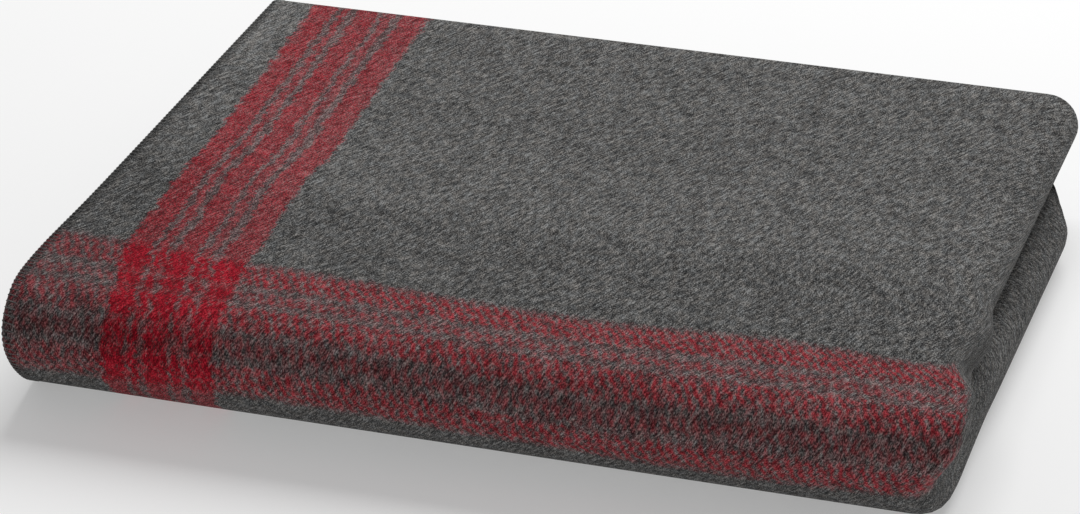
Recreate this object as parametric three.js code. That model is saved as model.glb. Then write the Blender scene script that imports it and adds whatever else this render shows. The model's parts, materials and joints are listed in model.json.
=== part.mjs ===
// A camp blanket of felted wool, folded in half four times into a stack of 16 plies.
// Millimetres. X runs along the long side, Y from the front fold to the back, Z up.
// The origin is at the middle of the stack's underside.
import * as THREE from "three";

// Driving dimensions
const blanketLength = 2032;
const blanketWidth = 1575;
const foldsAlongLength = 2;
const foldsAlongWidth = 2;
const stackHeight = 73;
const turnAllowance = 4; // depth that the turns of the cloth take up
const gap = 0.3; // between neighbouring plies
const stitchWidth = 1.7; // end stitching, along X
const leftFoldRecess = 3; // the left turns lie this far inside the stitched ends

// The stack
const plyCount = 2 ** (foldsAlongLength + foldsAlongWidth);
const halfCount = plyCount / 2;
const pitch = stackHeight / plyCount;
const plyThickness = pitch - gap;
const stackLength = blanketLength / 2 ** foldsAlongLength;
const stackDepth = blanketWidth / 2 ** foldsAlongWidth - turnAllowance;
const left = -stackLength / 2;
const front = -stackDepth / 2;
const back = stackDepth / 2;

// The stack opens about the innermost crease of the front fold, half way up.
const hingeZ = distanceFromHinge(1) + plyThickness / 2;
const hingeY = front + distanceFromHinge(1) + plyThickness / 2;

// The right fold turns plies 1 to 4 of each half over into plies 8 to 5.
const rightFoldCount = halfCount / 2;
const rightFoldX = stackLength / 2 - turnRadius(1, halfCount) - plyThickness / 2;

// The left fold joins plies 5 to 8. Plies 1 to 4 end there in stitched raw edges.
const rawPlyCount = halfCount / 2;
const leftFoldX = left + leftFoldRecess + turnRadius(rawPlyCount + 1, halfCount) + plyThickness / 2;
const rawEndX = left + stitchWidth + gap;

// The back fold joins the upper half's plies in pairs. The lower half's plies end in selvedges.
const backFoldCount = halfCount / 2;
const backFoldY = back - pitch / 2 - plyThickness / 2;

const arcSegments = 8;
const quarterTurnSteps = 5;

// Distance of a ply's middle from the hinge line. Ply 1 is the outermost of its half.
function distanceFromHinge(ply) {
  return (halfCount - ply + 0.5) * pitch;
}

// Radius of the middle of a turn that joins two plies of one half.
function turnRadius(outerPly, innerPly) {
  return (distanceFromHinge(outerPly) - distanceFromHinge(innerPly)) / 2;
}

function wool() {
  return new THREE.MeshStandardMaterial({ color: 0x5c5b5a, roughness: 0.95, metalness: 0 });
}

function stripedWool() {
  return new THREE.MeshStandardMaterial({ color: 0x6b3a3b, roughness: 0.95, metalness: 0 });
}

function stitchYarn() {
  return new THREE.MeshStandardMaterial({ color: 0x454443, roughness: 0.9, metalness: 0 });
}

// Half ring around (x, y), opening towards -X, or towards +X with side -1.
function halfRing(x, y, radius, side) {
  const outer = radius + plyThickness / 2;
  const inner = radius - plyThickness / 2;
  const shape = new THREE.Shape();
  const startAngle = side > 0 ? -Math.PI / 2 : Math.PI / 2;
  shape.absarc(x, y, outer, startAngle, startAngle + Math.PI, false);
  shape.absarc(x, y, inner, startAngle + Math.PI, startAngle, true);
  shape.closePath();
  return shape;
}

function rectangle(x0, y0, x1, y1) {
  const shape = new THREE.Shape();
  shape.moveTo(x0, y0);
  shape.lineTo(x1, y0);
  shape.lineTo(x1, y1);
  shape.lineTo(x0, y1);
  shape.closePath();
  return shape;
}

// Stations along a ply, from the back to the middle of the front fold. A station is a straight place y,
// or an angle of the turn round the hinge line, where 0 points away from the hinge along the ply's normal.
function straightThenTurn(backY) {
  return [{ y: backY }, ...quarterTurn()];
}

function quarterTurn() {
  return Array.from({ length: quarterTurnSteps + 1 }, (_, step) => ({
    angle: (step / quarterTurnSteps) * (Math.PI / 2),
  }));
}

// Place in the lower or upper half of a point that is `distance` away from the hinge line.
function placeAt(station, distance, half) {
  const up = half === "upper" ? 1 : -1;
  if (station.angle === undefined) {
    return [station.y, hingeZ + up * distance];
  }
  const rise = Math.max(distance * Math.cos(station.angle), gap / 2);
  return [hingeY - distance * Math.sin(station.angle), hingeZ + up * rise];
}

// Sweeps an outline, given as (x, distance from the hinge line), along the stations.
function sweep(outline, stations, half) {
  const steps = stations.length - 1;
  const geometry = new THREE.ExtrudeGeometry(outline, {
    depth: 1,
    steps,
    bevelEnabled: false,
    curveSegments: arcSegments,
  });
  const ordered = half === "upper" ? stations : [...stations].reverse();
  const position = geometry.attributes.position;
  for (let i = 0; i < position.count; i += 1) {
    const station = ordered[Math.round(position.getZ(i) * steps)];
    const [y, z] = placeAt(station, position.getY(i), half);
    position.setXYZ(i, position.getX(i), y, z);
  }
  geometry.computeVertexNormals();
  return geometry;
}

// Extrudes an outline, given as (y, z), along X.
function extrudeAlongX(outline, x0, x1) {
  const geometry = new THREE.ExtrudeGeometry(outline, {
    depth: x1 - x0,
    bevelEnabled: false,
    curveSegments: arcSegments,
  });
  const alongX = new THREE.Matrix4().makeBasis(
    new THREE.Vector3(0, 1, 0),
    new THREE.Vector3(0, 0, 1),
    new THREE.Vector3(1, 0, 0),
  );
  return geometry.applyMatrix4(alongX.setPosition(x0, 0, 0));
}

const blanket = new THREE.Group();

function addPiece(name, geometry, material) {
  const mesh = new THREE.Mesh(geometry, material);
  mesh.name = name;
  blanket.add(mesh);
  return mesh;
}

function leftEndOf(ply) {
  return ply <= rawPlyCount ? rawEndX : leftFoldX + gap;
}

function backEndOf(half) {
  return half === "upper" ? backFoldY - gap : back;
}

function addPly(half, ply) {
  const x0 = leftEndOf(ply);
  const x1 = rightFoldX - gap;
  const y0 = hingeY + gap;
  const y1 = backEndOf(half);
  const up = half === "upper" ? 1 : -1;
  const mesh = addPiece(`${half}_ply_${ply}`, new THREE.BoxGeometry(x1 - x0, y1 - y0, plyThickness), wool());
  mesh.position.set((x0 + x1) / 2, (y0 + y1) / 2, hingeZ + up * distanceFromHinge(ply));
}

function addFrontFold(half, ply) {
  const distance = distanceFromHinge(ply);
  const outline = rectangle(
    leftEndOf(ply),
    distance - plyThickness / 2,
    rightFoldX - gap,
    distance + plyThickness / 2,
  );
  const material = ply === 1 ? stripedWool() : wool();
  addPiece(`${half}_front_fold_${ply}`, sweep(outline, quarterTurn(), half), material);
}

function addSideFold(half, name, x, outerPly, innerPly, side) {
  const middle = (distanceFromHinge(outerPly) + distanceFromHinge(innerPly)) / 2;
  const outline = halfRing(x, middle, turnRadius(outerPly, innerPly), side);
  addPiece(name, sweep(outline, straightThenTurn(backEndOf(half)), half), wool());
}

function addEndStitch(half, ply) {
  const distance = distanceFromHinge(ply);
  const outline = rectangle(
    left,
    distance - plyThickness / 2,
    left + stitchWidth,
    distance + plyThickness / 2,
  );
  addPiece(`${half}_end_stitch_${ply}`, sweep(outline, straightThenTurn(backEndOf(half)), half), stitchYarn());
}

function addBackFold(number) {
  const outerPly = 2 * number - 1;
  const middle = hingeZ + (distanceFromHinge(outerPly) + distanceFromHinge(outerPly + 1)) / 2;
  const outline = halfRing(backFoldY, middle, pitch / 2, 1);
  const geometry = extrudeAlongX(outline, leftEndOf(outerPly), rightFoldX - gap);
  addPiece(`back_fold_${number}`, geometry, wool());
}

for (const half of ["lower", "upper"]) {
  for (let ply = 1; ply <= halfCount; ply += 1) {
    addPly(half, ply);
    addFrontFold(half, ply);
  }
  for (let fold = 1; fold <= rightFoldCount; fold += 1) {
    addSideFold(half, `${half}_right_fold_${fold}`, rightFoldX, fold, halfCount + 1 - fold, 1);
  }
  for (let fold = 1; fold <= (halfCount - rawPlyCount) / 2; fold += 1) {
    addSideFold(half, `${half}_left_fold_${fold}`, leftFoldX, rawPlyCount + fold, halfCount + 1 - fold, -1);
  }
  for (let ply = 1; ply <= rawPlyCount; ply += 1) {
    addEndStitch(half, ply);
  }
}
for (let fold = 1; fold <= backFoldCount; fold += 1) {
  addBackFold(fold);
}

export default blanket;
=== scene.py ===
"""A folded camp blanket: the cloth and its end stitching in Blender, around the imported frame."""

import json
import math

import bpy
import numpy as np
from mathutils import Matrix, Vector


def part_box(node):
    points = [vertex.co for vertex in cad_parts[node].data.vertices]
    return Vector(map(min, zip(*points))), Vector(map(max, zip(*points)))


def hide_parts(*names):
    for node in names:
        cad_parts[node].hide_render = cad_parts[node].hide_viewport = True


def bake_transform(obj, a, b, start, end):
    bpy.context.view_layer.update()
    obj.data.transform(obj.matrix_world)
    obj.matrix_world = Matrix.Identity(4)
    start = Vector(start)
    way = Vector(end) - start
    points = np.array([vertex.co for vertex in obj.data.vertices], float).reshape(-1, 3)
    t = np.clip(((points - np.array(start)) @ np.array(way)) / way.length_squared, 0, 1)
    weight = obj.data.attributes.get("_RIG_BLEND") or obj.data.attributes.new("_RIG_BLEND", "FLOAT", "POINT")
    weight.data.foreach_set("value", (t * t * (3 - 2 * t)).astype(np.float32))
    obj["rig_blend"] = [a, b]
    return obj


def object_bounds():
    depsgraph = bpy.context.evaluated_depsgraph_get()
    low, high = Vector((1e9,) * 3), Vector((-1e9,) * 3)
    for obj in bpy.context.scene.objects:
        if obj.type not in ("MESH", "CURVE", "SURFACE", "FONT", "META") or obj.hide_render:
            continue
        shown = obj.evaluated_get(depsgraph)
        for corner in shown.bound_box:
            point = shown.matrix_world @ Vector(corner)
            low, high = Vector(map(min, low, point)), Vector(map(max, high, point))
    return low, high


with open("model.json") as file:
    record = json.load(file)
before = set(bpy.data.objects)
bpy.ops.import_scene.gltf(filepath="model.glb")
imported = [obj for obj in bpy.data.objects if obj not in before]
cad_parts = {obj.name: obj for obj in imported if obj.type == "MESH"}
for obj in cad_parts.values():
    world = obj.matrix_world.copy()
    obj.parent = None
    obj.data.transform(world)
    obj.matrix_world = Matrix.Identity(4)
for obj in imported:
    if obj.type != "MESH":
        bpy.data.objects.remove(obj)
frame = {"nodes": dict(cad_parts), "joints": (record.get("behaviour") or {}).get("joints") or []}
cad_low, cad_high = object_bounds()

MM = 0.001

# The folded stack, from the frame
PLIES = 8  # in each half, 1 the outermost
OUTER_PLIES, INNER_PLIES = (1, 8, 5, 4), (2, 7, 6, 3)  # in which the cloth's two layers run from end to end
HEIGHT = cad_high.z - cad_low.z
HINGE_Y, HINGE_Z = frame["joints"][0]["pos_m"][1:]
OUTER_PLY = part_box("upper_ply_1")
INNER_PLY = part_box("upper_ply_8")
PITCH = (OUTER_PLY[1].z - INNER_PLY[1].z) / (PLIES - 1)
THICKNESS = 0.94 * PITCH  # of the cloth, so that neighbours don't touch
RAW_X = cad_low.x
RIGHT_X = OUTER_PLY[1].x
LEFT_FOLD_X = INNER_PLY[0].x
LOWER_BACK_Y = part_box("lower_ply_1")[1].y
UPPER_BACK_Y = OUTER_PLY[1].y
ROUND, PRESSED = 1.0, 0.5  # powers that shape a side fold: half a circle, or squarer

# Steps of the cloth's grid
OUTER_STEPS, TURN_STEPS = 64, 16  # along the outermost ply, and round its side fold
INNER_STEPS, LEFT_STEPS, RIGHT_STEPS = 24, 6, 8  # along each ply further in, and round their folds
LOWER_ROWS, FRONT_ROWS, UPPER_ROWS = 30, 28, 48  # across the outer layer, and round its front fold
BACK_ROWS = 6  # round the back fold
INNER_ROWS, INNER_FRONT_ROWS = 24, 18  # across each half of the layer inside, and round its front fold
EDGE_STEPS = 3  # round the cloth's own edge

# How the stack lies. A (low, high) pair is where an effect sets in and where it is full, in metres
MIDDLE = (0.4, 0.6)  # of the height, where the lower half passes into the upper
PRESSED_TURN = (0.5, 1.3)  # the front fold's side folds are squarer from here on round it, in radians
PRESSED_END = 60 * MM  # and grow round again over this distance behind it
ROLL_END = (RIGHT_X - 12 * MM, RIGHT_X + 5 * MM)  # along X, the loose roll at the front right
ROLL_BASE = (0, 24 * MM)  # it leaves the bottom flat
ROLL_POWER = 1.75  # how its effect falls off towards the outermost ply
ROLL_BACK, ROLL_BACK_FADE = 80 * MM, 200 * MM  # its middle moves back, less and less behind the hinge line
ROLL_UP, ROLL_UP_FADE = 11 * MM, 120 * MM  # and up
ROLL_TUCK = 0.75  # the plies inside it are drawn in at the side by this share
FULLNESS, FULLNESS_REACH, FULLNESS_FADE = 0.16, (0.45, 0.75), 80 * MM  # the fold bulges at its rim
INSET, INSET_Y, INSET_X = 9 * MM, (-60 * MM, -10 * MM), (50 * MM, 230 * MM)  # the upper half's right edge
PINCH, PINCH_FRONT = 5 * MM, (65 * MM, 100 * MM)  # the right edge draws in near the front
PINCH_Z, PINCH_X = (15 * MM, 40 * MM), (150 * MM, 240 * MM)
FLARE, FLARE_FRONT = 15 * MM, (100 * MM, 140 * MM)  # the front fold's outermost plies spread to the right
FLARE_Z, FLARE_REACH, FLARE_X = (30 * MM, 62 * MM), (0.50, 0.85), (150 * MM, RIGHT_X)
SHORT, SHORT_X, SHORT_Y = 42 * MM, (170 * MM, 250 * MM), (50 * MM, cad_high.y)  # the lower half's back edge
CORNER, LOWER_CORNER = 5 * MM, (12 * MM, 16 * MM)  # rounding of the back right corner, and more of it below
LEAN, LEAN_SWING = 5 * MM, 13 * MM  # over the front fold: the bottom lies back and the top forward
SKEW, SKEW_START = 0.065, -150 * MM  # the left end's top slopes in, towards the back
TOP_BACK, TOP_BACK_SLOPE = 6.2 * MM, 0.020  # the upper half reaches out at the back, more at the right
LEFT_WAVES = [(1.7 * MM, -185 * MM, 30 * MM), (-1.3 * MM, -120 * MM, 40 * MM)]  # of the left end

# The blanket as woven. A stripe is (start, end, how red), measured from the raw end or from the selvedge
BLANKET_LENGTH = 2.032
WEFT_STRIPES = [
    (43.0 * MM, 56.5 * MM, 0.63),
    (60.5 * MM, 65.0 * MM, 0.58),
    (69.5 * MM, 82.0 * MM, 0.62),
    (85.5 * MM, 91.0 * MM, 0.52),
    (96.0 * MM, 111.3 * MM, 0.58),
]
WARP_STRIPES = [
    (389.0 * MM, 408.5 * MM, 0.44),
    (414.0 * MM, 421.0 * MM, 0.33),
    (425.5 * MM, 442.5 * MM, 0.45),
    (449.0 * MM, 457.5 * MM, 0.37),
    (464.5 * MM, 485.5 * MM, 0.46),
]
BETWEEN_STRIPES = 0.14  # red fibres that stray into the grey gaps
RED_ENDS = 0.4920  # along the blanket from its raw end, where the band turns under at the right
RED_FADE, STRAY_REACH = 3 * MM, 12 * MM  # how softly and how unevenly it ends there
FLOAT_SPACING = 5.4 * MM  # from one red float to the next along a warp stripe
FLOAT_RISE = 13.0 * MM  # and across it, as they step sideways
PALE_END, PALE = (30 * MM, 60 * MM), 0.78  # the warp stripes are weaker towards the raw end
NAP_ANGLE = math.radians(-16)  # the brushed fibres lie off square
TWILL_ANGLE = math.radians(-31)  # the weave's faint ribs under the nap

# How the woven bands wander: by how much, and (from, to) at which distance from the selvedge or along X
NARROWING, NARROWING_PLACE = 10 * MM, (525 * MM, 430 * MM)  # the weft band, where it goes over the front
DIP, DIP_PLACE, DIP_WIDTH = 3.3 * MM, 480 * MM, 28 * MM
TOP_DRIFT, TOP_PLACE = 4 * MM, (560 * MM, 640 * MM)
LOW_DRIFT, LOW_PLACE = 3 * MM, (400 * MM, 370 * MM)
WIDENING = 3.5 * MM
BOW_MIDDLE, BOW, BOW_PLACE, BOW_LENGTH = 1 * MM, 4 * MM, -110 * MM, 400 * MM  # the warp band's lower edge
SIDE_BOW, SIDE_MIDDLE, SIDE_BOW_REACH = 7 * MM, 20 * MM, (20 * MM, 130 * MM)  # and its upper edge
LEFT_BOW, LEFT_BOW_REACH = 8 * MM, (130 * MM, 250 * MM)

# Where the cloth is painted paler or darker, as wear at the left end and as painted highlight and painted
# shade over the front fold: by how much, and (from, to) by distance from the end and the selvedge
ANYWHERE = (-1.0, 0.0)
WEAR_AND_PAINTED_LIGHT = [
    (0.150, (50 * MM, 15 * MM), (660 * MM, 700 * MM)),  # rubbed by handling at the left end
    (0.030, ANYWHERE, (680 * MM, 620 * MM)),  # painted highlight over the crown of the front fold
    (-0.070, ANYWHERE, (585 * MM, 550 * MM)),  # painted shade down its front
    (-0.055, (110 * MM, 50 * MM), (660 * MM, 560 * MM)),  # and painted shade at its left corner
]

# The stitching of the raw ends
STITCH_PITCH = 3.6 * MM
STITCH_DEPTH = 4.2 * MM
DEPTH_CHANGE, DEPTH_WAVE = 0.18, 9.1 * MM  # by how much and how quickly the depth changes along the edge
YARN_RADIUS = 0.35 * MM
YARN_SIDES = 6
EDGE_TURN = 6  # steps of each stitch round the rounded edge
STRAND_PITCH = 1.1 * MM  # the yarn's twist
YARN_FUZZ = (0.8 * MM, 0.8 * MM, 0.0, 2.0)  # noise: (width, length, turned by, detail)

# Light and floor
KEY_PLACE, KEY_SIZE, KEY_POWER = (0.2, 1.5, 2.2), 2.0, 59.5
SKY_STRENGTH = 0.264
FLOOR_SIZE, FLOOR_DROP = 6, 0.5 * MM
FLOOR_GREY, FLOOR_GLOW = 0.66, 0.33

# The photograph's view
CAMERA_AZIMUTH = math.radians(16.7)
CAMERA_ELEVATION = math.radians(28.4)
CAMERA_LENS = 190.1
CAMERA_PLACE = Vector((0.7800, -2.6454, 1.5283))


# ---------------------------------------------------------------- folded shape


def smooth(value, low, high):
    t = np.clip((value - low) / (high - low), 0, 1)
    return t * t * (3 - 2 * t)


def ply_distance(ply):
    """Distance of a ply's middle from the hinge line, where the stack opens."""
    return (PLIES - ply + 0.5) * PITCH


def spaced(start, end, steps):
    """Even steps from start to end, with the end left out."""
    return np.linspace(start, end, steps + 1)[:-1]


def straight(x0, x1, distance, steps):
    return np.column_stack([spaced(x0, x1, steps), np.full(steps, distance)])


def turn(x, distance0, distance1, side, steps, power=ROUND):
    """A half turn of the cloth from one ply to another; side is +1 at the right and -1 at the left."""
    angle = spaced(0, math.pi, steps)
    radius = abs(distance0 - distance1) / 2
    middle = (distance0 + distance1) / 2
    cosine = np.cos(angle)
    out = radius * np.sin(angle) ** power
    fall = (distance0 - distance1) / 2 * np.sign(cosine) * np.abs(cosine) ** power
    return np.column_stack([x + side * out, middle + fall])


def profile(plies, power):
    """The cloth's middle from one raw end to the other, through four plies of the bundle: (x, distance)."""
    first, second, third, fourth = (ply_distance(p) for p in plies)
    parts = [
        straight(RAW_X, RIGHT_X, first, OUTER_STEPS),
        turn(RIGHT_X, first, second, 1, TURN_STEPS, power),
        straight(RIGHT_X, LEFT_FOLD_X, second, INNER_STEPS),
        turn(LEFT_FOLD_X, second, third, -1, LEFT_STEPS),
        straight(LEFT_FOLD_X, RIGHT_X, third, INNER_STEPS),
        turn(RIGHT_X, third, fourth, 1, RIGHT_STEPS),
        straight(RIGHT_X, RAW_X, fourth, INNER_STEPS),
        [(RAW_X, fourth)],
    ]
    return np.concatenate(parts)


def rows():
    """
    The cloth across its width, from selvedge to selvedge: lower half, round the front fold, upper half,
    round the back fold to the next ply in, and back the same way. Each row is (layer, place along Y, front
    turn, back turn).
    """
    listed = []
    listed += [(0, y, 0, 0) for y in spaced(LOWER_BACK_Y, HINGE_Y, LOWER_ROWS)]
    listed += [(0, HINGE_Y, a, 0) for a in spaced(0, math.pi, FRONT_ROWS)]
    listed += [(0, y, math.pi, 0) for y in spaced(HINGE_Y, UPPER_BACK_Y, UPPER_ROWS)]
    listed += [(None, UPPER_BACK_Y, math.pi, b) for b in spaced(0, math.pi, BACK_ROWS)]
    listed += [(1, y, math.pi, 0) for y in spaced(UPPER_BACK_Y, HINGE_Y, INNER_ROWS)]
    listed += [(1, HINGE_Y, a, 0) for a in spaced(math.pi, 0, INNER_FRONT_ROWS)]
    listed += [(1, y, 0, 0) for y in spaced(HINGE_Y, LOWER_BACK_Y, INNER_ROWS)]
    return listed + [(1, LOWER_BACK_Y, 0, 0)]


def folded_grid():
    """Middle of the cloth as a grid of points."""
    round_outer, pressed_outer = (profile(OUTER_PLIES, power) for power in (ROUND, PRESSED))
    round_inner, pressed_inner = (profile(INNER_PLIES, power) for power in (ROUND, PRESSED))
    points = []
    for layer, y, front, back in rows():
        pressed = smooth(front, *PRESSED_TURN) * (1 - smooth(y, HINGE_Y, HINGE_Y + PRESSED_END))
        outer = round_outer + (pressed_outer - round_outer) * pressed
        inner = round_inner + (pressed_inner - round_inner) * pressed
        if layer is None:
            across = (outer - inner) / 2
            flat = (outer + inner) / 2 + across * math.cos(back)
            bulge = np.linalg.norm(across, axis=1) * math.sin(back)
        else:
            flat = (outer, inner)[layer]
            bulge = 0.0
        x, distance = flat.T
        forward, up = distance * math.sin(front), -distance * math.cos(front)
        points.append(np.column_stack([x, y + bulge - forward, HINGE_Z + up]))
    return np.array(points)


def outermost_cloth():
    """Where the grid is the stack's outermost ply, or the innermost that it turns into at the right."""
    layers = np.array([row[0] == 0 for row in rows()])
    columns = np.arange(len(profile(OUTER_PLIES, ROUND))) < OUTER_STEPS + TURN_STEPS + INNER_STEPS
    return np.outer(layers, columns)


def ellipse_corner(across, along):
    """Squeezes the unit square's far corner into a quarter circle."""
    u, v = np.clip(across, 0, 1), np.clip(along, 0, 1)
    return across - u + u * np.sqrt(1 - v * v / 2), along - v + v * np.sqrt(1 - u * u / 2)


def round_corner(x, y, corner, size):
    """Rounds one corner of the stack in plan. The signs of size say which way the corner points."""
    u = (x - corner[0]) / size[0] + 1
    v = (y - corner[1]) / size[1] + 1
    u, v = ellipse_corner(u, v)
    return corner[0] + (u - 1) * size[0], corner[1] + (v - 1) * size[1]


def opening_share(y, z):
    """How far each point turns as the stack opens: 0 the lower half, 1 the upper, between round the fold."""
    return np.arctan2(np.maximum(HINGE_Y - y, 0), HINGE_Z - z) / math.pi


def loose_roll(x, y, z, reach):
    """
    The folded corner at the front right, opened into a loose roll of the outermost cloth. The layers inside
    it are tucked in. Also each point's share of the opening.
    """
    behind = np.maximum(y - HINGE_Y, 0)
    core = np.clip(1 - reach**ROLL_POWER, 0, 1) * smooth(x, *ROLL_END) * smooth(z, *ROLL_BASE)
    back_fade = 1 - smooth(behind, 0, ROLL_BACK_FADE)
    loose = outermost_cloth()
    x = x - (1 - loose) * ROLL_TUCK * core * np.maximum(x - RIGHT_X, 0) * back_fade
    rim = cad_high.x - RIGHT_X
    around = np.sin(math.pi * np.clip((x - RIGHT_X) / rim, 0, 1))
    fullness = FULLNESS * around * (1 - smooth(behind, 0, FULLNESS_FADE)) * smooth(reach, *FULLNESS_REACH)
    y = y + ROLL_BACK * loose * core * back_fade
    share = opening_share(y, z)
    z = z + ROLL_UP * core * (1 - smooth(behind, 0, ROLL_UP_FADE))
    return x + fullness * rim, y, z, share


def uneven_right(x, y, z, reach, upper):
    """How far the right edge lies in or out from place to place."""
    inset = INSET * smooth(y, *INSET_Y) * upper * smooth(x, *INSET_X)
    pinch = PINCH * smooth(-y, *PINCH_FRONT) * smooth(z, *PINCH_Z) * smooth(x, *PINCH_X)
    outermost = smooth(reach, *FLARE_REACH) * smooth(z, *FLARE_Z)
    flare = FLARE * smooth(-y, *FLARE_FRONT) * outermost * smooth(x, *FLARE_X)
    return flare - inset - pinch


def settle(points):
    """
    The stack as it really lies: leaning over the front fold, with edges that aren't quite square. Also each
    point's share of the opening.
    """
    x, y, z = points[..., 0], points[..., 1], points[..., 2]
    height = z / HEIGHT
    upper = smooth(height, *MIDDLE)
    reach = np.hypot(np.minimum(y - HINGE_Y, 0), z - HINGE_Z) / ply_distance(1)
    x, y, z, share = loose_roll(x, y, z, reach)
    x = x + uneven_right(x, y, z, reach, upper)

    # the lower half's back edge falls short at the right, and the back corner is rounded
    short = SHORT * smooth(x, *SHORT_X) * smooth(y, *SHORT_Y) * (1 - upper)
    corner = (cad_high.x - INSET * upper, cad_high.y - short)
    size = [CORNER + below * (1 - upper) for below in LOWER_CORNER]
    x, y = round_corner(x, y - short, corner, size)

    to_front = 1 - smooth(y, HINGE_Y, cad_high.y)
    to_left = 1 - smooth(x, RAW_X, RIGHT_X)
    lean = (LEAN + LEAN_SWING * np.cos(math.pi * height)) * to_front
    skew = SKEW * np.maximum(y - SKEW_START, 0) * height * to_left**2
    back = (TOP_BACK + TOP_BACK_SLOPE * x) * smooth(y, 0, cad_high.y) * upper
    waves = sum(out * np.exp(-(((y - place) / width) ** 2)) for out, place, width in LEFT_WAVES)
    return np.stack([x + skew + waves * to_left**8, y + lean + back, z], axis=-1), share


def grid_normals(points):
    across = np.gradient(points, axis=0)
    along = np.gradient(points, axis=1)
    normal = np.cross(along, across)
    return normal / np.linalg.norm(normal, axis=-1, keepdims=True)


def lengths(points, axis):
    """Distance along the cloth from the first row or column."""
    steps = np.linalg.norm(np.diff(points, axis=axis), axis=-1)
    start = np.zeros_like(np.take(steps, [0], axis=axis))
    return np.concatenate([start, np.cumsum(steps, axis=axis)], axis=axis)


def weave_coordinates(points):
    """
    Where each grid point was on the flat blanket: metres along it from the first raw end, and across it
    from the first selvedge. Lengths on inner layers are stretched to match the outermost. Also the whole
    width so measured.
    """
    along = lengths(points, 1)
    start = points[:, :1, 0] - RAW_X
    end = points[:, -1:, 0] - RAW_X
    along = start + along * (BLANKET_LENGTH - start - end) / along[:, -1:]

    across = lengths(points, 0)
    front = LOWER_ROWS + FRONT_ROWS // 2
    back = LOWER_ROWS + FRONT_ROWS + UPPER_ROWS + BACK_ROWS // 2
    inner_front = len(points) - 1 - INNER_ROWS - INNER_FRONT_ROWS // 2
    marks = [0, front, back, inner_front, len(points) - 1]
    front_length, half_width = across[front, 0], across[back, 0]
    known = [0, front_length, half_width, 2 * half_width - front_length, 2 * half_width]
    for column in across.T:
        column[:] = np.interp(column, column[marks], known)
    return along, across, 2 * half_width


def stretch(value, stripes, start_shift, end_shift):
    """Moves a band of stripes' first and last edges."""
    start, end = stripes[0][0], stripes[-1][1]
    width = end - start
    return start + (value - start - start_shift) * width / (width + end_shift - start_shift)


def stripe_distances(along, across, width):
    """Distance from the nearer end and selvedge, with the weave's own wandering in the bands."""
    from_end = np.minimum(along, BLANKET_LENGTH - along)
    from_selvedge = np.minimum(across, width - across)
    narrowing = NARROWING * smooth(from_selvedge, *NARROWING_PLACE)
    dip = DIP * np.exp(-(((from_selvedge - DIP_PLACE) / DIP_WIDTH) ** 2))
    top, low = smooth(from_selvedge, *TOP_PLACE), smooth(from_selvedge, *LOW_PLACE)
    drift = TOP_DRIFT * top - LOW_DRIFT * low - dip
    widening = WIDENING * top
    weft = stretch(from_end, WEFT_STRIPES, drift + narrowing, drift + widening)
    place = from_end + RAW_X
    start_bow = BOW_MIDDLE + BOW * np.cos(2 * math.pi * (place - BOW_PLACE) / BOW_LENGTH)
    sides = SIDE_BOW * smooth(np.abs(place - SIDE_MIDDLE), *SIDE_BOW_REACH)
    end_bow = sides + LEFT_BOW * smooth(-place, *LEFT_BOW_REACH)
    warp = stretch(from_selvedge, WARP_STRIPES, start_bow, end_bow)
    return weft, warp


def thick_mesh(name, middle, thickness):
    """
    A closed mesh around a grid, with rounded edges. Also, for each of its points, the grid point it belongs
    to, the grid point next inside that, and how far round the edge it is.
    """
    normal = grid_normals(middle)
    count, width = middle.shape[:2]
    top = middle + normal * thickness / 2
    bottom = middle - normal * thickness / 2
    index = np.arange(count * width).reshape(count, width)
    faces = []

    def sheet(grid, flip):
        a, b, c, d = grid[:-1, :-1], grid[1:, :-1], grid[1:, 1:], grid[:-1, 1:]
        quads = np.stack([a, b, c, d] if flip else [a, d, c, b], axis=-1)
        faces.append(quads.reshape(-1, 4))

    sheet(index, False)
    sheet(index + count * width, True)
    border = np.concatenate([index[0, :-1], index[:-1, -1], index[-1, :0:-1], index[:0:-1, 0]])
    inside = np.concatenate([index[1, :-1], index[:-1, -2], index[-2, :0:-1], index[:0:-1, 1]])
    flat_middle = middle.reshape(-1, 3)
    flat_normal = normal.reshape(-1, 3)
    outward = flat_middle[border] - flat_middle[inside]
    outward /= np.linalg.norm(outward, axis=1, keepdims=True)
    rings = [border]
    extra = []
    beyond = [np.zeros(2 * count * width)]
    base = 2 * count * width
    for step in range(1, EDGE_STEPS + 1):
        angle = math.pi * step / (EDGE_STEPS + 1)
        direction = flat_normal[border] * math.cos(angle) + outward * math.sin(angle)
        extra.append(flat_middle[border] + thickness / 2 * direction)
        beyond.append(np.full(len(border), thickness / 2 * min(angle, math.pi - angle)))
        rings.append(base + np.arange(len(border)) + (step - 1) * len(border))
    rings.append(border + count * width)
    for upper, lower in zip(rings[:-1], rings[1:]):
        quads = np.stack([upper, np.roll(upper, -1), np.roll(lower, -1), lower], axis=-1)
        faces.append(quads)
    points = np.concatenate([top.reshape(-1, 3), bottom.reshape(-1, 3)] + extra)
    source = np.concatenate([index.ravel(), index.ravel()] + [border] * EDGE_STEPS)
    inner = np.concatenate([index.ravel(), index.ravel()] + [inside] * EDGE_STEPS)
    mesh = bpy.data.meshes.new(name)
    mesh.from_pydata(points.tolist(), [], np.concatenate(faces).tolist())
    mesh.update()
    mesh.shade_smooth()
    return mesh, source, inner, np.concatenate(beyond)


def add_values(mesh, name, values):
    attribute = mesh.attributes.new(name, "FLOAT", "POINT")
    attribute.data.foreach_set("value", np.ascontiguousarray(values, dtype=np.float32))


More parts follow.
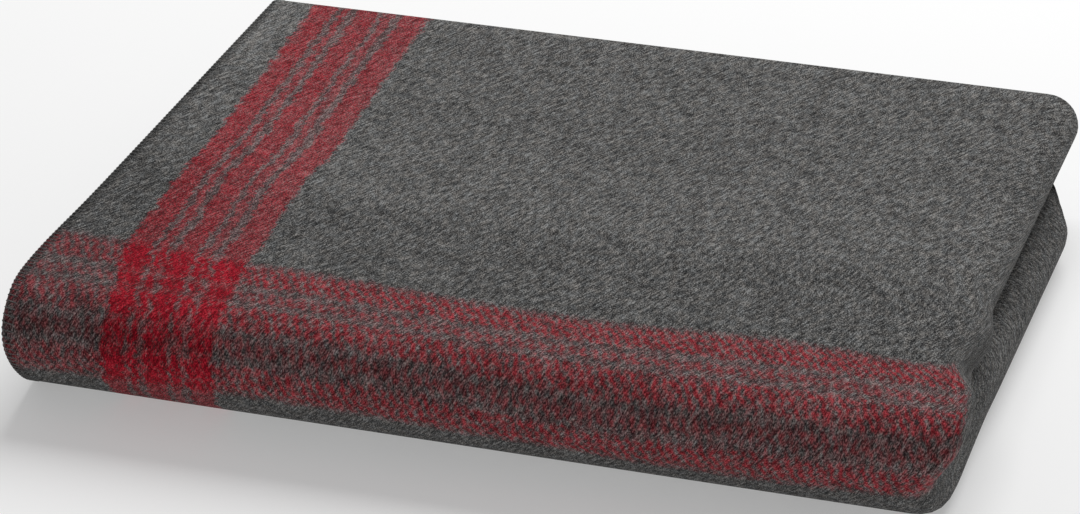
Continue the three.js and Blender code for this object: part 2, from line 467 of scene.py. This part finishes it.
def bend_with_fold(piece, share):
    """Follows both halves. A point in the front fold turns as far as its share of the fold."""
    start = (0, HINGE_Y, HINGE_Z - HEIGHT / 2)
    end = (0, HINGE_Y, HINGE_Z + HEIGHT / 2)
    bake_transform(piece, "lower_half", "upper_half", start=start, end=end)
    weights = piece.data.attributes["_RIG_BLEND"]
    weights.data.foreach_set("value", np.ascontiguousarray(share, dtype=np.float32))


def make_piece(name, mesh, share, nodes):
    piece = bpy.data.objects.new(name, mesh)
    bpy.context.collection.objects.link(piece)
    bend_with_fold(piece, share)
    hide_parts(*nodes)
    return piece


def tone(from_end, from_selvedge):
    """How much paler or darker the cloth is painted: paler where rubbed at the left end, and painted
    highlight and painted shade over the front fold.
    """
    parts = [t * smooth(from_end, *ends) * smooth(from_selvedge, *sides) for t, ends, sides in WEAR_AND_PAINTED_LIGHT]
    return sum(parts)


def carry_round_edge(places, source, inner, beyond):
    """Carries the grid's flat places to the mesh's points, and on round the rounded edge."""
    outward = places[source] - places[inner]
    outward /= np.maximum(np.linalg.norm(outward, axis=1, keepdims=True), 0.1 * MM)
    return places[source] + outward * beyond[:, None]


def make_cloth(middle, share):
    mesh, source, inner, beyond = thick_mesh("blanket_cloth", middle, THICKNESS)
    along, across, width = weave_coordinates(middle)
    weft, warp = stripe_distances(along, across, width)
    flat = carry_round_edge(np.column_stack([along.ravel(), across.ravel()]), source, inner, beyond)
    add_values(mesh, "along", flat[:, 0])
    add_values(mesh, "across", flat[:, 1])
    add_values(mesh, "from_end", weft.ravel()[source])
    add_values(mesh, "from_selvedge", warp.ravel()[source])
    # wear at the left end, and painted highlight and painted shade over the front fold
    add_values(mesh, "tone", tone(weft, warp).ravel()[source])
    nodes = [n for n in frame["nodes"] if "stitch" not in n]
    return make_piece("blanket_cloth", mesh, share.ravel()[source], nodes)


def resample(values, distance, places):
    return np.stack([np.interp(places, distance, column) for column in values.T], axis=-1)


def stitch_section():
    """One stitch seen along the edge: round the end of the cloth, in under its face, and through it."""
    reach = THICKNESS / 2 - 0.1 * YARN_RADIUS
    angle = np.linspace(0, math.pi, EDGE_TURN + 1)
    turned = np.column_stack([np.sin(angle), np.cos(angle)]) * reach
    deep, halfway = -STITCH_DEPTH, -STITCH_DEPTH / 2
    inside = [(halfway, -reach), (deep, -reach), (deep, 0), (deep, reach), (halfway, reach)]
    return np.concatenate([turned, inside])


def make_stitching(name, middle, share, column):
    """One yarn, wound over and over the raw end: the grid's first column, 0, or its last, -1."""
    edge = middle[:, column]
    outward = edge - middle[:, 1 if column == 0 else -2]
    normal = grid_normals(middle)[:, column]
    distance = lengths(edge[:, None], 0)[:, 0]
    section = stitch_section()
    stitches = int(distance[-1] / STITCH_PITCH)
    count = stitches * len(section)
    places = np.linspace(0, distance[-1], count)
    edge, outward, normal = (resample(v, distance, places) for v in (edge, outward, normal))
    outward /= np.linalg.norm(outward, axis=1, keepdims=True)
    normal /= np.linalg.norm(normal, axis=1, keepdims=True)
    share = np.interp(places, distance, share[:, column])
    out, above = np.tile(section, (stitches, 1)).T
    out = np.where(out < 0, out * (1 + DEPTH_CHANGE * np.sin(places / DEPTH_WAVE)), out)
    path = edge + outward * out[:, None] + normal * above[:, None]

    forward = np.gradient(path, axis=0)
    forward /= np.linalg.norm(forward, axis=1, keepdims=True)
    side = np.cross(forward, path - edge + outward * STITCH_DEPTH / 2)
    side /= np.linalg.norm(side, axis=1, keepdims=True)
    up = np.cross(side, forward)
    angle = 2 * math.pi * np.arange(YARN_SIDES) / YARN_SIDES
    ring = side[:, None] * np.cos(angle)[:, None] + up[:, None] * np.sin(angle)[:, None]
    points = path[:, None] + YARN_RADIUS * ring
    index = np.arange(count * YARN_SIDES).reshape(count, YARN_SIDES)
    beside = np.roll(index, -1, axis=1)
    quads = np.stack([index[:-1], beside[:-1], beside[1:], index[1:]], axis=-1).reshape(-1, 4)
    caps = [tuple(index[0][::-1]), tuple(index[-1])]
    mesh = bpy.data.meshes.new(name)
    mesh.from_pydata(points.reshape(-1, 3).tolist(), [], quads.tolist() + caps)
    mesh.update()
    mesh.shade_smooth()
    add_values(mesh, "along_yarn", np.repeat(lengths(path[:, None], 0)[:, 0], YARN_SIDES))
    plies = (OUTER_PLIES[column], INNER_PLIES[column])
    nodes = [f"{half}_end_stitch_{ply}" for half in ("lower", "upper") for ply in plies]
    return make_piece(name, mesh, np.repeat(share, YARN_SIDES), nodes)


middle, share = settle(folded_grid())
cloth = make_cloth(middle, share)
stitching = [
    make_stitching("end_stitching_first", middle, share, 0),
    make_stitching("end_stitching_second", middle, share, -1),
]


# ---------------------------------------------------------------- materials


class Graph:
    """Short calls for building one material's nodes. An input is another node's output or a plain value."""

    def __init__(self, name):
        self.material = bpy.data.materials.new(name)
        self.material.use_nodes = True
        self.nodes = self.material.node_tree.nodes
        self.shader = self.nodes["Principled BSDF"]

    def put(self, socket, value):
        if isinstance(value, bpy.types.NodeSocket):
            self.material.node_tree.links.new(value, socket)
        else:
            socket.default_value = value

    def add(self, kind, outlet, **inputs):
        node = self.nodes.new(kind)
        for name, value in inputs.items():
            self.put(node.inputs[name.replace("_", " ")], value)
        return node, node.outputs[outlet]

    def value(self, name):
        node, outlet = self.add("ShaderNodeAttribute", "Fac")
        node.attribute_name = name
        return outlet

    def math(self, operation, *inputs):
        node = self.nodes.new("ShaderNodeMath")
        node.operation = operation
        for socket, value in zip(node.inputs, inputs):
            self.put(socket, value)
        return node.outputs[0]

    def remap(self, value, low, high, to_low=0.0, to_high=1.0):
        """Maps a value from one range to another, without leaving it."""
        node, outlet = self.add("ShaderNodeMapRange", "Result")
        node.clamp = True
        for socket, number in zip(node.inputs, (value, low, high, to_low, to_high)):
            self.put(socket, number)
        return outlet

    def vector(self, x, y):
        return self.add("ShaderNodeCombineXYZ", "Vector", X=x, Y=y)[1]

    def noise(self, place, width, length, angle=0.0, detail=2.0, shift=0.0):
        """Soft noise from 0 to 1 around 0.5, in cells of a width and length, turned by an angle."""
        mapping, cells = self.add("ShaderNodeMapping", "Vector", Vector=place)
        mapping.vector_type = "TEXTURE"
        mapping.inputs["Location"].default_value = (shift, shift, 0)
        mapping.inputs["Rotation"].default_value = (0, 0, angle)
        mapping.inputs["Scale"].default_value = (width, length, 1)
        node, outlet = self.add("ShaderNodeTexNoise", "Fac", Vector=cells)
        node.noise_dimensions = "2D"
        node.inputs["Scale"].default_value = 1.0
        node.inputs["Detail"].default_value = detail
        return outlet

    def sum(self, *parts):
        """A weighted sum of (value, weight) pairs, each value around 0.5, back around 0.5."""
        total = 0.5
        for value, weight in parts:
            total = self.math("MULTIPLY_ADD", self.math("SUBTRACT", value, 0.5), weight, total)
        return total

    def mix(self, factor, first, second, blend="MIX"):
        node = self.nodes.new("ShaderNodeMix")
        node.data_type = "RGBA"
        node.blend_type = blend
        self.put(node.inputs[0], factor)
        self.put(node.inputs[6], first)
        self.put(node.inputs[7], second)
        return node.outputs[2]

    def ramp(self, factor, stops):
        node, outlet = self.add("ShaderNodeValToRGB", "Color", Fac=factor)
        elements = node.color_ramp.elements
        elements.remove(elements[1])
        elements[0].position = stops[0][0]
        for place, colour in stops:
            element = elements[0] if place == stops[0][0] else elements.new(place)
            element.color = colour if hasattr(colour, "__len__") else (colour, colour, colour, 1)
        return outlet


def stripe_strength(graph, distance, stripes, feather, outer_feather):
    """How red the cloth is at a distance from its edge, from 0 to 1."""
    margin = 6 * MM
    low, high = stripes[0][0] - margin, stripes[-1][1] + margin
    stops = []
    for start, end, strength in stripes:
        first, last = start == stripes[0][0], end == stripes[-1][1]
        rise, fall = (outer_feather if outer else feather for outer in (first, last))
        places = (start - rise, start + rise, end - fall, end + fall)
        values = (0 if first else BETWEEN_STRIPES, strength, strength, 0 if last else BETWEEN_STRIPES)
        stops += [((p - low) / (high - low), v) for p, v in zip(places, values)]
    return graph.ramp(graph.remap(distance, low, high), stops)


GREY_FIBRES = [
    (0.00, (0.016, 0.016, 0.017, 1)),
    (0.30, (0.051, 0.051, 0.051, 1)),
    (0.50, (0.106, 0.105, 0.104, 1)),
    (0.70, (0.186, 0.184, 0.180, 1)),
    (1.00, (0.340, 0.336, 0.330, 1)),
]
RED_FIBRES = [
    (0.00, (0.110, 0.003, 0.007, 1)),
    (0.30, (0.200, 0.005, 0.012, 1)),
    (0.50, (0.315, 0.008, 0.020, 1)),
    (0.70, (0.435, 0.014, 0.030, 1)),
    (1.00, (0.600, 0.045, 0.065, 1)),
]

# Noise in the wool: (width, length, turned by, detail, shift)
STREAKS = (0.60 * MM, 4.5 * MM, NAP_ANGLE, 0.0)
FINE = (0.70 * MM, 1.15 * MM, NAP_ANGLE, 1.0, 0.3)
TWILL = (1.25 * MM, 9.0 * MM, TWILL_ANGLE, 0.0, 0.9)
CLUMPS = (2.6 * MM, 5.0 * MM, NAP_ANGLE, 1.0, 0.7)
MOTTLE = (18 * MM, 26 * MM, 0.0, 2.0, 1.1)
HUE = (5 * MM, 7 * MM, 0.0, 2.0, 2.3)
WANDER = (55 * MM, 55 * MM, 0.0, 1.0, 3.1)
RIPPLE = (9 * MM, 9 * MM, 0.0, 1.0, 4.7)
STRAY = (1.3 * MM, 3.4 * MM, NAP_ANGLE, 1.0, 5.9)
WEFT_GRAIN = (0.9 * MM, 1.8 * MM, NAP_ANGLE, 1.0, 6.3)
WARP_GRAIN = (2.2 * MM, 3.6 * MM, NAP_ANGLE, 1.0, 7.7)
COOL_AND_WARM = [(0.30, (0.97, 1.0, 1.02, 1)), (0.70, (1.03, 0.995, 0.96, 1))]
FEATHER, OUTER_FEATHER = (0.8 * MM, 1.8 * MM), (1.4 * MM, 4.5 * MM)  # soft edges of weft and warp stripes
WEFT_UNEVEN = (0.15, 0.85, 0.60, 1.40)  # from and to in the grain, and from and to in the red's strength
WARP_UNEVEN = (0.10, 0.90, 0.20, 1.80)
ROUGHNESS = (0.98, 0.86)  # of the darkest and the palest fibres
FLOAT_WAVE = 7.0  # how far the lines of floats wave, in radians
OVERLAP = 0.10  # where stripes cross, how much of their red is counted once only


def make_wool():
    graph = Graph("wool")
    along, across = graph.value("along"), graph.value("across")
    from_end, from_selvedge = graph.value("from_end"), graph.value("from_selvedge")
    place = graph.vector(along, across)

    # brushed fibres: fine streaks, faint twill, small clumps, and slow changes
    streaks = graph.noise(place, *STREAKS)
    fine = graph.noise(place, *FINE)
    twill = graph.noise(place, *TWILL)
    clumps = graph.noise(place, *CLUMPS)
    mottle = graph.noise(place, *MOTTLE)
    fibre = graph.sum((streaks, 0.35), (twill, 0.55), (fine, 1.47), (clumps, 0.55), (mottle, 0.22))
    # adds wear at the left end, and painted highlight and painted shade over the front fold, to the fibres'
    # brightness
    fibre = graph.math("ADD", fibre, graph.value("tone"))

    # grey heather, a little warmer and cooler from place to place
    grey = graph.ramp(fibre, GREY_FIBRES)
    hue = graph.noise(place, *HUE)
    grey = graph.mix(1.0, grey, graph.ramp(hue, COOL_AND_WARM), "MULTIPLY")

    # red yarns, whose edges wander and whose fibres stray into the grey
    wander = graph.noise(place, *WANDER)
    ripple = graph.noise(place, *RIPPLE)
    stray = graph.noise(place, *STRAY)
    shift = graph.math("SUBTRACT", graph.sum((wander, 3 * MM), (ripple, 6 * MM), (stray, 6 * MM)), 0.5)
    weft_place, warp_place = (graph.math("ADD", distance, shift) for distance in (from_end, from_selvedge))
    weft = stripe_strength(graph, weft_place, WEFT_STRIPES, FEATHER[0], OUTER_FEATHER[0])
    warp = stripe_strength(graph, warp_place, WARP_STRIPES, FEATHER[1], OUTER_FEATHER[1])
    warp = graph.math("MULTIPLY", warp, graph.remap(from_end, *PALE_END, PALE, 1.0))
    around = graph.math("MULTIPLY_ADD", graph.math("SUBTRACT", stray, 0.5), STRAY_REACH, along)
    kept = graph.remap(around, RED_ENDS - RED_FADE, RED_ENDS + RED_FADE, 1.0, 0.0)
    warp = graph.math("MULTIPLY", warp, kept)

    # floats: red yarn shows in short steps along the warp stripes, and as grain in the weft stripes
    weft_grain = graph.noise(place, *WEFT_GRAIN)
    weft_grain = graph.sum((weft_grain, 1.5), (fine, 0.4), (ripple, 0.6))
    waving = graph.math("MULTIPLY", ripple, FLOAT_WAVE)
    phase = graph.math("MULTIPLY_ADD", along, 2 * math.pi / FLOAT_SPACING, waving)
    phase = graph.math("MULTIPLY_ADD", across, 2 * math.pi / FLOAT_RISE, phase)
    picks = graph.math("MULTIPLY_ADD", graph.math("SINE", phase), 0.5, 0.5)
    warp_grain = graph.noise(place, *WARP_GRAIN)
    warp_grain = graph.sum((warp_grain, 1.3), (picks, 0.50), (fine, 0.35), (ripple, 0.3))
    weft = graph.math("MULTIPLY", weft, graph.remap(weft_grain, *WEFT_UNEVEN))
    warp = graph.math("MULTIPLY", warp, graph.remap(warp_grain, *WARP_UNEVEN))
    shared = graph.math("MULTIPLY", graph.math("MULTIPLY", weft, warp), OVERLAP)
    red_share = graph.math("SUBTRACT", graph.math("ADD", weft, warp), shared)
    red_share = graph.math("MINIMUM", red_share, 1.0)
    colour = graph.mix(red_share, grey, graph.ramp(fibre, RED_FIBRES))

    graph.put(graph.shader.inputs["Base Color"], colour)
    graph.put(graph.shader.inputs["Roughness"], graph.remap(fibre, 0, 1, *ROUGHNESS))
    graph.shader.inputs["Specular IOR Level"].default_value = 0.05
    graph.shader.inputs["Sheen Weight"].default_value = 0.03
    graph.shader.inputs["Sheen Roughness"].default_value = 0.5
    graph.shader.inputs["Sheen Tint"].default_value = (0.85, 0.84, 0.83, 1)
    height = graph.sum((streaks, 0.5), (fine, 0.4), (clumps, 0.6))
    bump, normal = graph.add("ShaderNodeBump", "Normal", Height=height)
    bump.inputs["Strength"].default_value = 0.55
    bump.inputs["Distance"].default_value = 0.9 * MM
    graph.put(graph.shader.inputs["Normal"], normal)
    return graph.material


def make_yarn():
    graph = Graph("stitch_yarn")
    along = graph.value("along_yarn")
    strands = graph.math("SINE", graph.math("MULTIPLY", along, 2 * math.pi / STRAND_PITCH))
    strands = graph.remap(strands, -1, 1, 0.35, 0.65)
    fuzz = graph.noise(graph.vector(along, along), *YARN_FUZZ)
    colour = graph.ramp(graph.sum((strands, 0.5), (fuzz, 0.8)), GREY_FIBRES)
    graph.put(graph.shader.inputs["Base Color"], colour)
    graph.shader.inputs["Roughness"].default_value = 0.9
    graph.shader.inputs["Specular IOR Level"].default_value = 0.25
    graph.shader.inputs["Sheen Weight"].default_value = 0.2
    bump, normal = graph.add("ShaderNodeBump", "Normal", Height=strands)
    bump.inputs["Strength"].default_value = 0.5
    bump.inputs["Distance"].default_value = 0.3 * MM
    graph.put(graph.shader.inputs["Normal"], normal)
    return graph.material


cloth.data.materials.append(make_wool())
yarn = make_yarn()
for piece in stitching:
    piece.data.materials.append(yarn)


# ---------------------------------------------------------------- floor, light and camera


def make_floor():
    mesh = bpy.data.meshes.new("floor")
    corners = [(x * FLOOR_SIZE, y * FLOOR_SIZE, 0) for x, y in ((-1, -1), (1, -1), (1, 1), (-1, 1))]
    mesh.from_pydata(corners, [], [(0, 1, 2, 3)])
    floor = bpy.data.objects.new("floor", mesh)
    bpy.context.collection.objects.link(floor)
    material = bpy.data.materials.new("floor")
    material.use_nodes = True
    shader = material.node_tree.nodes["Principled BSDF"]
    shader.inputs["Base Color"].default_value = (FLOOR_GREY, FLOOR_GREY, FLOOR_GREY, 1)
    shader.inputs["Emission Color"].default_value = (1, 1, 1, 1)
    shader.inputs["Emission Strength"].default_value = FLOOR_GLOW
    shader.inputs["Roughness"].default_value = 0.9
    mesh.materials.append(material)
    floor.location.z = -FLOOR_DROP


def add_area_light(name, place, size, power):
    light = bpy.data.lights.new(name, "AREA")
    light.size = size
    light.energy = power
    lamp = bpy.data.objects.new(name, light)
    lamp.location = place
    lamp.rotation_euler = (Vector((0, 0, 0)) - Vector(place)).to_track_quat("-Z", "Y").to_euler()
    bpy.context.collection.objects.link(lamp)


def make_light():
    world = bpy.data.worlds.new("studio")
    world.use_nodes = True
    background = world.node_tree.nodes["Background"]
    background.inputs["Color"].default_value = (1, 1, 1, 1)
    background.inputs["Strength"].default_value = SKY_STRENGTH
    bpy.context.scene.world = world
    bpy.context.scene.view_settings.view_transform = "Standard"
    add_area_light("key", KEY_PLACE, KEY_SIZE, KEY_POWER)


def make_camera():
    data = bpy.data.cameras.new("camera")
    data.lens = CAMERA_LENS
    data.sensor_width = 36
    camera = bpy.data.objects.new("camera", data)
    camera.location = CAMERA_PLACE
    camera.rotation_euler = (math.pi / 2 - CAMERA_ELEVATION, 0, CAMERA_AZIMUTH)
    bpy.context.collection.objects.link(camera)
    bpy.context.scene.camera = camera


make_floor()
make_light()
make_camera()

bpy.context.view_layer.update()
